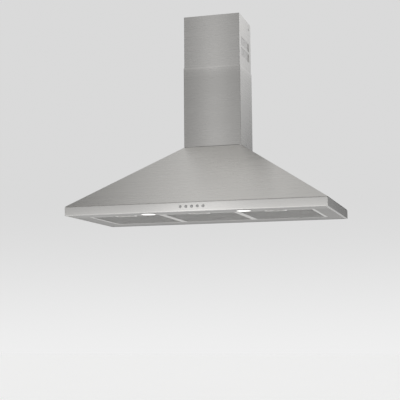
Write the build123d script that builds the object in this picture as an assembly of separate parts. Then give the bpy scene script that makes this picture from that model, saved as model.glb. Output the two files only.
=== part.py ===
from build123d import *
from math import atan2, cos, degrees, pi, radians, sin
import os

# Wall-mounted chimney range hood, in millimetres.
# The wall is the plane Y = 0 and the hood reaches out along -Y. X runs along the wall, +Z is up.
# The origin is on the wall, midway along the hood, level with the rim's bottom edge.

# ---- Driving dimensions ------------------------------------------------------------------------

WIDTH = 900.0
DEPTH = 450.0
RIM_HEIGHT = 30.0
CANOPY_TOP = 260.0
CHIMNEY_WIDTH = 210.0
CHIMNEY_DEPTH = 180.0
LOWER_COVER_TOP = 550.0
UPPER_COVER_TOP = 740.0
UPPER_COVER_LENGTH = 380.0
DUCT_DIAMETER = 150.0

SHEET = 1.0                 # stainless steel of the outer covers
BACK_SHEET = 1.2            # galvanised steel of the back panel
FIT = 0.5                   # ordinary gap between neighbouring pieces

# Rim and canopy
RIM_LIP = 8.0               # the rim's returns, folded inwards at its top and bottom
SEAM = 1.5                  # open seam between the rim and the canopy
SEAM_DEPTH = 3.0
TOP_LIP = 10.0              # flange round the hole in the canopy's top
EDGE_RADIUS = 1.5           # outside radius of a folded edge

# Underside
FILTER_COUNT = 3
FILTER_PITCH = (WIDTH - 114.0) / FILTER_COUNT
FILTER_WIDTH = FILTER_PITCH - 1.0
FILTER_FRONT = 78.0 - DEPTH
FILTER_BACK = -80.0
FILTER_THICKNESS = 9.0
FILTER_LIP = 10.0
FILTER_WALL = 0.8
PAN_BOTTOM = 1.0
PAN_LEDGE = 11.0            # top of the turned-up edge round the filter opening
BAR_WIDTH = 22.0

# Grip pocket and latch in the front edge of each filter
GRIP_FRONT_WIDTH = 86.0
GRIP_BACK_WIDTH = 66.0
GRIP_DEPTH = 34.0
POCKET_WIDTH = 60.0
POCKET_DEPTH = 25.0
POCKET_BACK_GAP = 5.0
LATCH_WIDTH = 20.0
LATCH_REACH = 4.5           # how far the tongue stands out of the frame

# Lamps
LAMP_X = 165.0
LAMP_Y = -(DEPTH - 46.0)
LAMP_LENS_RADIUS = 24.0
LAMP_BEZEL_RADIUS = 27.5
LAMP_RING_PROUD = 1.8       # how far the rings stand below the underside
LAMP_SLEEVE = 9.0           # height of the rings' sleeves above the underside
LENS_CROWN = 0.8
LAMP_BODY_HEIGHT = 20.0
FIN_COUNT = 3

# Push buttons
BUTTON_COUNT = 5
BUTTON_PITCH = 19.6
BUTTON_HEIGHT = 16.5
BUTTON_RADIUS = 3.8
BUTTON_PROUD = 1.6
BUTTON_HOLE_RADIUS = 4.7
GUIDE_HALF_HEIGHT = 9.0
SWITCH_FRONT = 11.0         # from the rim's face back to the switch body
SWITCH_HALF = 51.2
SWITCH_SCREW_X = 56.2

# Blower, with its wheel's axis along X
SCROLL_X = 62.0
SCROLL_WALL = 2.0
SCROLL_START = 80.0         # radius of the scroll's first quarter
SCROLL_STEP = 8.0           # growth of the radius from quarter to quarter
SCROLL_Y = -114.0           # centre of the first quarter
SCROLL_Z = CANOPY_TOP - 132.0
SCROLL_OUTLET = CANOPY_TOP - 38.0
SCROLL_FLANGE = 4.0         # reach of the flange where the scroll's two halves meet
INLET_RADIUS = 57.0
WHEEL_RADIUS = 71.0
WHEEL_HALF_WIDTH = 52.0
BLADE_COUNT = 32
BLADE_DEPTH = 12.0
BLADE_THICKNESS = 1.2
SHAFT_RADIUS = 4.0
MOTOR_RADIUS = 42.0
MOTOR_START = 6.0
MOTOR_END = 70.0
MOTOR_CAP = 6.0             # rise of the domed cap at its outer end
MOTOR_SLOTS = 8

# Outlet collar and its two non-return flaps
COLLAR_WALL = 2.0
COLLAR_TOP = CANOPY_TOP + 46.0
COLLAR_FLANGE_RADIUS = 79.0
FLAP_THICKNESS = 1.4
FLAP_PIN_RADIUS = 1.2
FLAP_BARREL_RADIUS = 2.1
FLAP_AXIS_OFFSET = 3.5
SEAT_TOP = CANOPY_TOP + 7.2

# Chimney covers
COVER_LIP = 12.0            # the covers' edges, turned inwards along the wall
COVER_GAP = 0.8             # slack between the two telescoping covers
COVER_SEAM = 1.0
VENT_ROWS = 2
VENT_COLUMNS = 10
VENT_HEIGHT = 32.0
VENT_WIDTH = 7.6
VENT_PITCH = 12.6
VENT_ROW_PITCH = 39.0
VENT_FIRST_ROW = UPPER_COVER_TOP - 134.0     # height of the lowest row's middle
BRACKET_HOLE_X = 60.0
BRACKET_HOLE_RADIUS = 3.0
SIDE_SCREW_Y = -25.0        # side screws of the upper cover

# Back panel and what stands on it
KEYHOLE_X = 150.0
KEYHOLE_Z = 175.0
KEYHOLE_RADIUS = 6.0
KEYHOLE_SLOT = 3.2          # half the slot's width
KEYHOLE_RISE = 14.0
SAFETY_Z = 60.0
SAFETY_RADIUS = 3.25
CONTROL_BOX_AT = (-200.0, 100.0)            # its middle, as (x, z)
CONTROL_BOX_HALF = (50.0, 30.0)
CONTROL_BOX_FRONT = -38.0
CAPACITOR_X = 190.0
CAPACITOR_RADIUS = 15.0
CAPACITOR_Z = [70.0, 130.0]

# Cable gland, as (x, y)
GLAND_AT = (-84.0, -16.0)
GLAND_RADIUS = 6.0
GLAND_BORE = 3.8

# ---- Values worked out from them ---------------------------------------------------------------

HALF_WIDTH = WIDTH / 2
HALF_CHIMNEY = CHIMNEY_WIDTH / 2
CANOPY_BASE = RIM_HEIGHT + SEAM
CANOPY_RISE = CANOPY_TOP - CANOPY_BASE
SIDE_SLOPE = atan2(CANOPY_RISE, HALF_WIDTH - HALF_CHIMNEY)
FRONT_SLOPE = atan2(CANOPY_RISE, DEPTH - CHIMNEY_DEPTH)
FILTER_TOP = PAN_BOTTOM + FILTER_THICKNESS
FILTER_NAMES = ["left", "centre", "right"]
FILTER_X = [(i - (FILTER_COUNT - 1) / 2) * FILTER_PITCH for i in range(FILTER_COUNT)]
OPENING_HALF = FILTER_X[-1] + FILTER_WIDTH / 2 + 1.0
OPENING_FRONT = FILTER_FRONT - 1.0
OPENING_BACK = FILTER_BACK + 1.0
SPIGOT_Y = -CHIMNEY_DEPTH / 2
SPIGOT_RADIUS = DUCT_DIAMETER / 2
WHEEL_Y = SCROLL_Y + SCROLL_STEP / 2
WHEEL_Z = SCROLL_Z + SCROLL_STEP / 2
BUTTON_X = [(i - (BUTTON_COUNT - 1) / 2) * BUTTON_PITCH for i in range(BUTTON_COUNT)]
UPPER_HALF = HALF_CHIMNEY - SHEET - COVER_GAP
UPPER_FRONT = CHIMNEY_DEPTH - SHEET - COVER_GAP
UPPER_BACK = SHEET + COVER_GAP
UPPER_COVER_BOTTOM = UPPER_COVER_TOP - UPPER_COVER_LENGTH
BRACKET_Z = UPPER_COVER_TOP - 22.0
TAB_SCREW_Z = CANOPY_TOP + 12.0
FLAP_AXIS_Z = SEAT_TOP + FLAP_BARREL_RADIUS + 0.1

# ---- Helpers -----------------------------------------------------------------------------------


def block(x, y, z):
    """A box between two limits along each axis."""
    spans = [sorted(pair) for pair in (x, y, z)]
    sizes = [high - low for low, high in spans]
    centre = [(high + low) / 2 for low, high in spans]
    return Pos(*centre) * Box(*sizes)


def mirrored_block(x, y, z):
    """The same box on both sides of the hood's middle plane."""
    return block(x, y, z) + block([-x[0], -x[1]], y, z)


def upright(radius, centre, z):
    """A cylinder standing on Z."""
    low, high = sorted(z)
    return Pos(centre[0], centre[1], (low + high) / 2) * Cylinder(radius, high - low)


def along_x(radius, centre, x):
    """A cylinder lying along X, its centre given as (y, z)."""
    low, high = sorted(x)
    return Pos((low + high) / 2, *centre) * Rot(0, 90, 0) * Cylinder(radius, high - low)


def along_y(radius, centre, y):
    """A cylinder lying along Y, its centre given as (x, z)."""
    low, high = sorted(y)
    return Pos(centre[0], (low + high) / 2, centre[1]) * Rot(90, 0, 0) * Cylinder(radius, high - low)


def turned(points, centre):
    """A piece turned about an upright axis, from its half profile given as (radius, z)."""
    profile = Plane.XZ * make_face(Polyline(*points, close=True))
    return Pos(centre[0], centre[1], 0) * revolve(profile, Axis.Z)


def edges_at(shape, x=None, y=None, z=None, tolerance=0.05):
    """The straight edges whose middle lies at the given coordinates."""
    found = []
    for edge in shape.edges():
        middle = edge @ 0.5
        wanted = ((x, abs(middle.X)), (y, middle.Y), (z, middle.Z))
        if all(value is None or abs(value - got) < tolerance for value, got in wanted):
            found.append(edge)
    return found


def edges_on_level(shape, z):
    """The edges that lie on one level."""
    return [e for e in shape.edges() if abs((e @ 0.5).Z - z) < 0.01 and abs((e @ 0).Z - z) < 0.01]


# ---- Outer sheet metal -------------------------------------------------------------------------


def canopy_section(height, skin, back):
    """The canopy's plan at one height, pulled in by a skin measured square to its slopes."""
    share = (height - CANOPY_BASE) / CANOPY_RISE
    half = HALF_WIDTH + share * (HALF_CHIMNEY - HALF_WIDTH) - skin / sin(SIDE_SLOPE)
    front = DEPTH + share * (CHIMNEY_DEPTH - DEPTH) - skin / sin(FRONT_SLOPE)
    return Pos(0, (back - front) / 2, height) * Rectangle(2 * half, back + front)


def canopy_outside():
    """The canopy's outer form, rounded along its two ridges."""
    low = canopy_section(CANOPY_BASE, 0, -BACK_SHEET)
    high = canopy_section(CANOPY_TOP, 0, -BACK_SHEET)
    outer = loft([low, high])
    slanted = [e for e in outer.edges() if (e @ 0.5).Y < -DEPTH / 2 and 0.2 < abs((e % 0.5).Z) < 0.95]
    return fillet(slanted, EDGE_RADIUS)


def canopy_inside():
    """The space inside the canopy's sheets, carried on past their top and bottom."""
    return loft([canopy_section(RIM_HEIGHT - 2, SHEET, 2), canopy_section(CANOPY_TOP + 2, SHEET, 2)])


def front_zone():
    """The space along the front wall, out to the mitres where it is welded to the side walls."""
    side_step = 3 * SHEET / sin(SIDE_SLOPE)
    front_step = 3 * SHEET / sin(FRONT_SLOPE)
    sections = []
    for height in (CANOPY_BASE - 1, CANOPY_TOP + 1):
        share = (height - CANOPY_BASE) / CANOPY_RISE
        half = HALF_WIDTH + share * (HALF_CHIMNEY - HALF_WIDTH)
        front = DEPTH + share * (CHIMNEY_DEPTH - DEPTH)
        sections.append(make_face(Polyline(
            (-half - side_step, -front - front_step, height),
            (half + side_step, -front - front_step, height),
            (half - side_step, -front + front_step, height),
            (-half + side_step, -front + front_step, height),
            close=True,
        )))
    return loft(sections)


def canopy_sheets():
    """The canopy's three sloping sheets, welded along the ridges: front, left and right."""
    skin = canopy_outside() - canopy_inside()
    skin &= block([-HALF_WIDTH, HALF_WIDTH], [-DEPTH, 0], [CANOPY_BASE, CANOPY_TOP - SHEET])
    front = front_zone()
    sides = (skin - front).solids().sort_by(Axis.X)
    return {"front": skin & front, "left": sides[0], "right": sides[-1]}


def canopy_top_frame():
    """The flat strips round the canopy's open top, which the chimney and the blower's plate are fixed to."""
    hole = HALF_CHIMNEY - TOP_LIP
    hole_front = -CHIMNEY_DEPTH + TOP_LIP
    z = [CANOPY_TOP - SHEET, CANOPY_TOP]
    outer = canopy_outside()
    reach = HALF_CHIMNEY + 5
    strips = [outer & block([-reach, reach], [-CHIMNEY_DEPTH - 5, hole_front], z)]
    for side in (-1, 1):
        strips.append(outer & block([side * hole, side * reach], [hole_front, 0], z))
    return Compound(strips)


def canopy_base_frame():
    """The set-back strips under the sloping sheets, which stand on the rim's upper fold."""
    reach = HALF_WIDTH - SEAM_DEPTH
    inside = canopy_inside()
    z = [RIM_HEIGHT, CANOPY_BASE + 3]
    front = [SEAM_DEPTH - DEPTH, SEAM_DEPTH + SHEET - DEPTH]
    strips = [inside & block([-reach, reach], front, z)]
    for side in (-1, 1):
        strips.append(inside & block([side * (reach - SHEET), side * reach], [front[1], -BACK_SHEET], z))
    return Compound(strips)


def rim_band():
    """The upright band along the front and sides: one strip folded in at its top and bottom."""
    band = block([-HALF_WIDTH, HALF_WIDTH], [-DEPTH, -BACK_SHEET], [0, RIM_HEIGHT])
    corners = edges_at(band, x=HALF_WIDTH, y=-DEPTH, z=RIM_HEIGHT / 2)
    folds = edges_at(band, y=-DEPTH, z=0) + edges_at(band, x=HALF_WIDTH, z=0)
    top_folds = edges_at(band, y=-DEPTH, z=RIM_HEIGHT) + edges_at(band, x=HALF_WIDTH, z=RIM_HEIGHT)
    band = fillet(corners + folds + top_folds, SHEET)
    inside = HALF_WIDTH - SHEET
    band -= block([-inside, inside], [SHEET - DEPTH, 2], [SHEET, RIM_HEIGHT - SHEET])
    between = HALF_WIDTH - RIM_LIP
    band -= block([-between, between], [RIM_LIP - DEPTH, 2], [-2, RIM_HEIGHT + 2])
    for x in BUTTON_X:
        band -= along_y(BUTTON_HOLE_RADIUS, (x, BUTTON_HEIGHT), [-DEPTH - 3, -DEPTH + 4])
    return band


def back_panel():
    """The galvanised plate against the wall, with two keyholes and two safety-screw holes."""
    outline = Polyline(
        (-HALF_WIDTH, 0),
        (HALF_WIDTH, 0),
        (HALF_WIDTH, RIM_HEIGHT),
        (HALF_CHIMNEY, CANOPY_TOP),
        (-HALF_CHIMNEY, CANOPY_TOP),
        (-HALF_WIDTH, RIM_HEIGHT),
        close=True,
    )
    plate = extrude(Plane.XZ * make_face(outline), BACK_SHEET)
    for side in (-1, 1):
        x = side * KEYHOLE_X
        plate -= along_y(KEYHOLE_RADIUS, (x, KEYHOLE_Z), [-4, 4])
        slot_top = KEYHOLE_Z + KEYHOLE_RISE
        plate -= block([x - KEYHOLE_SLOT, x + KEYHOLE_SLOT], [-4, 4], [KEYHOLE_Z, slot_top])
        plate -= along_y(KEYHOLE_SLOT, (x, slot_top), [-4, 4])
        plate -= along_y(SAFETY_RADIUS, (x, SAFETY_Z), [-4, 4])
    return plate


def underside_pan():
    """The flat underside: one sheet with a turned-up edge round the filters and two lamp holes."""
    reach = HALF_WIDTH - SHEET - 0.2
    sheet_top = PAN_BOTTOM + SHEET
    front = SHEET + 0.2 - DEPTH
    pan = block([-reach, reach], [front, -BACK_SHEET], [PAN_BOTTOM, sheet_top])
    ledge = OPENING_HALF + SHEET
    pan += block([-ledge, ledge], [OPENING_FRONT - SHEET, OPENING_BACK + SHEET], [PAN_BOTTOM, PAN_LEDGE])
    pan -= block([-OPENING_HALF, OPENING_HALF], [OPENING_FRONT, OPENING_BACK], [-5, PAN_LEDGE + 5])
    for side in (-1, 1):
        pan -= upright(LAMP_LENS_RADIUS + 2, (side * LAMP_X, LAMP_Y), [-5, 10])
    half = LATCH_WIDTH / 2 + 2
    notch = [OPENING_FRONT - LATCH_REACH, OPENING_FRONT + 1]
    for x in FILTER_X:
        pan -= block([x - half, x + half], notch, [-5, PAN_LEDGE + 5])
    return pan


def support_bars():
    """Two tee bars across the filter opening, above the joints between the filters."""
    bars = []
    for i in range(FILTER_COUNT - 1):
        x = (FILTER_X[i] + FILTER_X[i + 1]) / 2
        y = [OPENING_FRONT - SHEET, OPENING_BACK + SHEET]
        foot = block([x - BAR_WIDTH / 2, x + BAR_WIDTH / 2], y, [PAN_LEDGE, PAN_LEDGE + 1.2])
        web = block([x - 0.6, x + 0.6], y, [PAN_LEDGE + 1.2, PAN_LEDGE + 10])
        bars.append(foot + web)
    return Compound(bars)


# ---- Grease filters ----------------------------------------------------------------------------


def filter_frame(x):
    """A folded aluminium channel round the mesh, with two tabs that hook over the back ledge."""
    half = FILTER_WIDTH / 2
    y = [FILTER_FRONT, FILTER_BACK - FIT]
    frame = block([x - half, x + half], y, [PAN_BOTTOM, FILTER_TOP])
    uprights = [e for e in frame.edges() if abs((e % 0.5).Z) > 0.9]
    frame = fillet(uprights, 3)
    wall = FILTER_WALL
    inside = half - wall
    hollow_y = [y[0] + wall, y[1] - wall]
    frame -= block([x - inside, x + inside], hollow_y, [PAN_BOTTOM + wall, FILTER_TOP - wall])
    seen = half - FILTER_LIP
    frame -= block([x - seen, x + seen], [y[0] + FILTER_LIP, y[1] - FILTER_LIP], [0, FILTER_TOP + 1])
    tab_z = [PAN_LEDGE + 0.3, PAN_LEDGE + 1.1]
    for side in (-1, 1):
        tab_x = [x + side * half / 2 - 12, x + side * half / 2 + 12]
        frame += block(tab_x, [y[1] - 3.5, y[1] - 2.5], [FILTER_TOP - wall, tab_z[1]])
        frame += block(tab_x, [y[1] - 3.5, OPENING_BACK + 10], tab_z)
    grip = GRIP_FRONT_WIDTH / 2 + 0.4
    frame -= block([x - grip, x + grip], [hollow_y[0], y[0] + FILTER_LIP + 1], [0, PAN_BOTTOM + wall])
    slot = LATCH_WIDTH / 2 + 0.5
    frame -= block([x - slot, x + slot], [y[0] - 1, y[0] + 2], [5.1, 7.3])
    return frame


def grip_outline(x, gap, z):
    """The grip plate's outline: wider at the front edge, with slanting ends."""
    front = FILTER_FRONT + FILTER_WALL + 0.2
    back = front + GRIP_DEPTH + gap
    return make_face(Polyline(
        (x - GRIP_FRONT_WIDTH / 2 - gap, front, z),
        (x + GRIP_FRONT_WIDTH / 2 + gap, front, z),
        (x + GRIP_BACK_WIDTH / 2 + gap, back, z),
        (x - GRIP_BACK_WIDTH / 2 - gap, back, z),
        close=True,
    ))


def pocket_limits(x):
    """The finger pocket's inside, as limits along X and Y."""
    back = FILTER_FRONT + FILTER_WALL + 0.2 + GRIP_DEPTH - POCKET_BACK_GAP
    return [x - POCKET_WIDTH / 2, x + POCKET_WIDTH / 2], [back - POCKET_DEPTH, back]


def filter_grip(x):
    """A pressed plate with a finger pocket that opens downwards, behind the frame's front lip."""
    low = PAN_BOTTOM + FILTER_WALL
    high = FILTER_TOP - FILTER_WALL
    plate = extrude(grip_outline(x, 0, low), 0.8, dir=(0, 0, 1))
    span_x, span_y = pocket_limits(x)
    wide_x = [span_x[0] - 0.8, span_x[1] + 0.8]
    wide_y = [span_y[0] - 0.8, span_y[1] + 0.8]
    grip = plate + block(wide_x, wide_y, [low, high])
    grip -= block(span_x, span_y, [low - 2, high - 0.8])
    slot = LATCH_WIDTH / 2 + 0.5
    grip -= block([x - slot, x + slot], [wide_y[0] - 1, span_y[0] + 1], [5.1, 7.3])
    return grip


def filter_latch(x):
    """A flat bolt through the frame's front edge, with a finger tab inside the pocket."""
    span_y = pocket_limits(x)[1]
    tab = [span_y[0] + 0.8, span_y[0] + 3.2]
    half = LATCH_WIDTH / 2
    bolt = block([x - half, x + half], [FILTER_FRONT - LATCH_REACH + 1, tab[0] + 1], [5.6, 6.8])
    noses = [e for e in bolt.edges() if abs((e % 0.5).Z) > 0.9 and (e @ 0.5).Y < FILTER_FRONT]
    bolt = fillet(noses, 3)
    return bolt + block([x - 14, x + 14], tab, [2.6, 7.0])


def filter_mesh(x):
    """Two layers of expanded metal held in the frame, cut away round the grip."""
    half = FILTER_WIDTH / 2 - FILTER_WALL - 0.3
    y = [FILTER_FRONT + FILTER_WALL + 0.3, FILTER_BACK - FIT - FILTER_WALL - 0.3]
    layers = []
    for z in (PAN_BOTTOM + FILTER_WALL + 0.1, FILTER_TOP - FILTER_WALL - 0.7):
        sheet = block([x - half, x + half], y, [z, z + 0.6])
        cutter = extrude(grip_outline(x, 0.4, 0), 30, both=True)
        layers.append(sheet - cutter)
    return Compound(layers)


# ---- Lamps -------------------------------------------------------------------------------------


def lamp_bezel(x):
    """A turned ring with a bevelled lip under the underside, and a sleeve up through the lamp's hole."""
    low = PAN_BOTTOM - LAMP_RING_PROUD
    bore = LAMP_LENS_RADIUS + 0.1
    sleeve = LAMP_LENS_RADIUS + 1.7
    return turned([
        (bore, low),
        (LAMP_BEZEL_RADIUS - LAMP_RING_PROUD / 2, low),
        (LAMP_BEZEL_RADIUS, low + LAMP_RING_PROUD / 2),
        (LAMP_BEZEL_RADIUS, PAN_BOTTOM),
        (sleeve, PAN_BOTTOM),
        (sleeve, PAN_BOTTOM + LAMP_SLEEVE),
        (bore, PAN_BOTTOM + LAMP_SLEEVE),
    ], (x, LAMP_Y))


def lamp_lens(x):
    """A frosted disc in the ring, with a slightly domed face."""
    low = PAN_BOTTOM - LAMP_RING_PROUD + 0.3 - LENS_CROWN
    dome = (LAMP_LENS_RADIUS**2 + LENS_CROWN**2) / (2 * LENS_CROWN)
    disc = upright(LAMP_LENS_RADIUS, (x, LAMP_Y), [low, PAN_BOTTOM + 1.2])
    return disc & Pos(x, LAMP_Y, low + dome) * Sphere(dome)


def lamp_body(x):
    """The lamp's housing above the lens, with cooling fins and the block its leads are clamped in."""
    base = PAN_BOTTOM + 1.2
    top = base + LAMP_BODY_HEIGHT
    seat = PAN_BOTTOM + LAMP_SLEEVE
    core = LAMP_LENS_RADIUS - 6
    tip = LAMP_LENS_RADIUS - 2
    collar = LAMP_LENS_RADIUS + 1.7
    points = [(0, base), (LAMP_LENS_RADIUS, base), (LAMP_LENS_RADIUS, seat)]
    points += [(collar, seat), (collar, seat + 1.2), (core, seat + 1.2)]
    for level in range(FIN_COUNT):
        z = seat + 3 + 3.2 * level
        points += [(core, z), (tip, z), (tip, z + 1.4), (core, z + 1.4)]
    points += [(core, top), (0, top)]
    return turned(points, (x, LAMP_Y)) + block([x - 8, x + 8], [LAMP_Y - 5, LAMP_Y + 5], [top, top + 7])


# ---- Push buttons ------------------------------------------------------------------------------


def button(x):
    """A round cap with a softened edge, on a stem that runs into the switch block."""
    front = -DEPTH - BUTTON_PROUD
    cap = along_y(BUTTON_RADIUS, (x, BUTTON_HEIGHT), [front, -DEPTH + 5.5])
    rims = [e for e in cap.edges() if abs((e @ 0.5).Y - front) < 0.01 and abs((e @ 0).Y - front) < 0.01]
    cap = fillet(rims, 0.9)
    return cap + along_y(2.2, (x, BUTTON_HEIGHT), [-DEPTH + 5.5, -DEPTH + 17])


def button_guide():
    """The moulded strip behind the rim: it lines the button holes and its posts carry the switch body."""
    half = SWITCH_SCREW_X + 5
    back = SHEET + 3 - DEPTH
    z = [BUTTON_HEIGHT - GUIDE_HALF_HEIGHT, BUTTON_HEIGHT + GUIDE_HALF_HEIGHT]
    strip = block([-half, half], [SHEET - DEPTH, back], z)
    strip = fillet([e for e in strip.edges() if abs((e % 0.5).Y) > 0.9], 3)
    for side in (-1, 1):
        strip += along_y(4, (side * SWITCH_SCREW_X, BUTTON_HEIGHT), [back, SWITCH_FRONT - DEPTH])
    for x in BUTTON_X:
        strip += along_y(BUTTON_HOLE_RADIUS - 0.1, (x, BUTTON_HEIGHT), [0.3 - DEPTH, back])
    for x in BUTTON_X:
        strip -= along_y(BUTTON_RADIUS + 0.25, (x, BUTTON_HEIGHT), [-DEPTH - 1, -DEPTH + 8])
    return strip


def switch_block():
    """The switch body behind the buttons, with a socket for each stem and two fixing ears."""
    front = SWITCH_FRONT - DEPTH
    z = [BUTTON_HEIGHT - GUIDE_HALF_HEIGHT, BUTTON_HEIGHT + GUIDE_HALF_HEIGHT]
    body = block([-SWITCH_HALF, SWITCH_HALF], [front, front + 20], z)
    ear_end = SWITCH_SCREW_X + 5
    ears = block([-ear_end, ear_end], [front, front + 3], [z[0] + 3, z[1] - 3])
    body += fillet([e for e in ears.edges() if abs((e % 0.5).Y) > 0.9], 4)
    for side in (-1, 1):
        body -= along_y(1.8, (side * SWITCH_SCREW_X, BUTTON_HEIGHT), [front - 1, front + 4])
    for x in BUTTON_X:
        body -= along_y(2.5, (x, BUTTON_HEIGHT), [front - 1, front + 12])
        body += block([x - 4, x + 4], [front + 20, front + 26], [z[0] + 5, z[1] - 5])
    return body


# ---- Blower ------------------------------------------------------------------------------------


def scroll_face(inset, top):
    """The scroll's section square to the wheel's axis: three growing quarters and a straight outlet."""
    y, z, step = SCROLL_Y, SCROLL_Z, SCROLL_STEP
    first = SCROLL_START - inset
    second = first + step
    third = second + step
    start = (y, z + first)
    left = (y - first, z)
    bottom = (y + step, z - second)
    right = (y + step + third, z + step)
    diagonal = cos(pi / 4)
    one = ThreePointArc(start, (y - first * diagonal, z + first * diagonal), left)
    two = ThreePointArc(left, (y + step - second * diagonal, z - second * diagonal), bottom)
    three = ThreePointArc(bottom, (y + step + third * diagonal, z + step - third * diagonal), right)
    tongue = (y + inset, z + first)
    outlet = Polyline(right, (right[0], top), (y + inset, top), tongue)
    closing = [one, two, three, outlet]
    if inset > 0:
        closing.append(Line(tongue, start))
    return Plane.YZ * make_face(Curve() + closing)


def blower_housing():
    """A moulded scroll round the wheel, open at the top, with a round inlet in each side."""
    section = scroll_face(0, SCROLL_OUTLET)
    flange = extrude(offset(section, SCROLL_FLANGE, kind=Kind.INTERSECTION), 2, both=True)
    flange &= block([-2, 2], [-DEPTH, 0], [0, SCROLL_OUTLET])
    shell = extrude(section, SCROLL_X, both=True) + flange
    shell -= extrude(scroll_face(SCROLL_WALL, SCROLL_OUTLET + 5), SCROLL_X - SCROLL_WALL, both=True)
    shell -= along_x(INLET_RADIUS, (WHEEL_Y, WHEEL_Z), [-SCROLL_X - 5, SCROLL_X + 5])
    for side in (-1, 1):
        face = side * (SCROLL_X - SCROLL_WALL)
        mouth = along_x(INLET_RADIUS + 2, (WHEEL_Y, WHEEL_Z), [face, face - side * 5])
        shell += mouth - along_x(INLET_RADIUS, (WHEEL_Y, WHEEL_Z), [face + side, face - side * 8])
    return shell


def outlet_adaptor():
    """The transition from the scroll's rectangular outlet to the round collar."""
    back = SCROLL_Y + 3 * SCROLL_STEP + SCROLL_START
    middle = (SCROLL_Y + back) / 2
    top = CANOPY_TOP - SHEET - 1.5
    low = Pos(0, middle, SCROLL_OUTLET) * Rectangle(2 * SCROLL_X, back - SCROLL_Y)
    high = Pos(0, SPIGOT_Y, top) * Circle(SPIGOT_RADIUS - 1)
    inner_low = Pos(0, middle, SCROLL_OUTLET) * Rectangle(2 * (SCROLL_X - 2), back - SCROLL_Y - 4)
    inner_high = Pos(0, SPIGOT_Y, top) * Circle(SPIGOT_RADIUS - 3)
    return loft([low, high]) - loft([inner_low, inner_high])


def blade(angle):
    """One forward-curved blade, drawn at its place round the wheel's axis."""
    outer = WHEEL_RADIUS - 0.5
    inner = WHEEL_RADIUS - BLADE_DEPTH + 0.5
    lean = radians(7.5)

    def at(radius, turn):
        return (WHEEL_Y + radius * cos(angle + turn), WHEEL_Z + radius * sin(angle + turn))

    half = BLADE_THICKNESS / 2
    middle = (outer + inner) / 2
    thick = half / middle
    profile = Curve() + [
        ThreePointArc(at(inner, -thick), at(middle, lean * 0.32 - thick), at(outer, lean - thick)),
        Line(at(outer, lean - thick), at(outer, lean + thick)),
        ThreePointArc(at(outer, lean + thick), at(middle, lean * 0.32 + thick), at(inner, thick)),
        Line(at(inner, thick), at(inner, -thick)),
    ]
    return extrude(Plane.YZ * make_face(profile), WHEEL_HALF_WIDTH - 1, both=True)


def blower_wheel():
    """A double-inlet wheel: a middle disc on a hub, two end rings and a cage of curved blades."""
    axis = (WHEEL_Y, WHEEL_Z)
    wheel = along_x(WHEEL_RADIUS, axis, [-1, 1])
    for side in (-1, 1):
        ring = along_x(WHEEL_RADIUS, axis, [side * (WHEEL_HALF_WIDTH - 2), side * WHEEL_HALF_WIDTH])
        wheel += ring - along_x(WHEEL_RADIUS - BLADE_DEPTH, axis, [-SCROLL_X, SCROLL_X])
    wheel += along_x(11, axis, [-14, 1])
    wheel = wheel.fuse(*[blade(2 * pi * i / BLADE_COUNT) for i in range(BLADE_COUNT)])
    return wheel - along_x(SHAFT_RADIUS, axis, [-20, 20])


def motor():
    """The motor inside the wheel's right half: two domed shells crimped together round a plain waist."""
    neck = MOTOR_START + 4
    crimp = MOTOR_START + 26
    grip = MOTOR_END - 14       # from here on it fills the bracket's ring
    waist = MOTOR_RADIUS - 2.5
    cap = MOTOR_END + MOTOR_CAP
    cap_radius = MOTOR_RADIUS - 16
    inner_dome = ThreePointArc((neck, 12), (neck + 2.6, waist - 13), (neck + 10, waist))
    side = Polyline(
        (neck + 10, waist),
        (crimp, waist),
        (crimp, MOTOR_RADIUS),
        (crimp + 4, MOTOR_RADIUS),
        (crimp + 4, waist),
        (grip, waist),
        (grip, MOTOR_RADIUS),
        (MOTOR_END, MOTOR_RADIUS),
    )
    outer_dome = ThreePointArc((MOTOR_END, MOTOR_RADIUS), (cap - 1.6, cap_radius + 8.5), (cap, cap_radius))
    ends = Polyline((cap, cap_radius), (cap, 0), (MOTOR_START, 0), (MOTOR_START, 10), (neck, 12))
    profile = make_face(Curve() + [inner_dome, side, outer_dome, ends])
    can = revolve(profile, Axis.X)
    for i in range(MOTOR_SLOTS):
        slot = block([cap - 2, cap + 2], [-2.5, 2.5], [13, cap_radius])
        can -= Rot(360 * i / MOTOR_SLOTS, 0, 0) * slot
    can -= along_x(SHAFT_RADIUS + 0.05, (0, 0), [MOTOR_START - 1, MOTOR_START + 40])
    return Pos(0, WHEEL_Y, WHEEL_Z) * can


def motor_shaft():
    """The shaft, from inside the motor through the wheel's hub, with a turned end."""
    axis = (WHEEL_Y, WHEEL_Z)
    return along_x(SHAFT_RADIUS, axis, [-26, MOTOR_START + 36])


def shaft_nut():
    """The nut that holds the wheel on its shaft."""
    nut = Pos(-14, WHEEL_Y, WHEEL_Z) * Rot(0, -90, 0) * extrude(RegularPolygon(8, 6), 6)
    return nut - along_x(SHAFT_RADIUS, (WHEEL_Y, WHEEL_Z), [-26, 0])


def motor_bracket():
    """A ring round the motor with four arms screwed to the housing beside the inlet."""
    axis = (WHEEL_Y, WHEEL_Z)
    x = [SCROLL_X, SCROLL_X + 2]
    bracket = along_x(MOTOR_RADIUS + 6, axis, x)
    for quarter in range(4):
        arm = block(x, [-8, 8], [MOTOR_RADIUS + 2, INLET_RADIUS + 12])
        bracket += Pos(0, *axis) * Rot(45 + 90 * quarter, 0, 0) * arm
    return bracket - along_x(MOTOR_RADIUS, axis, [x[0] - 2, x[1] + 2])


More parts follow.
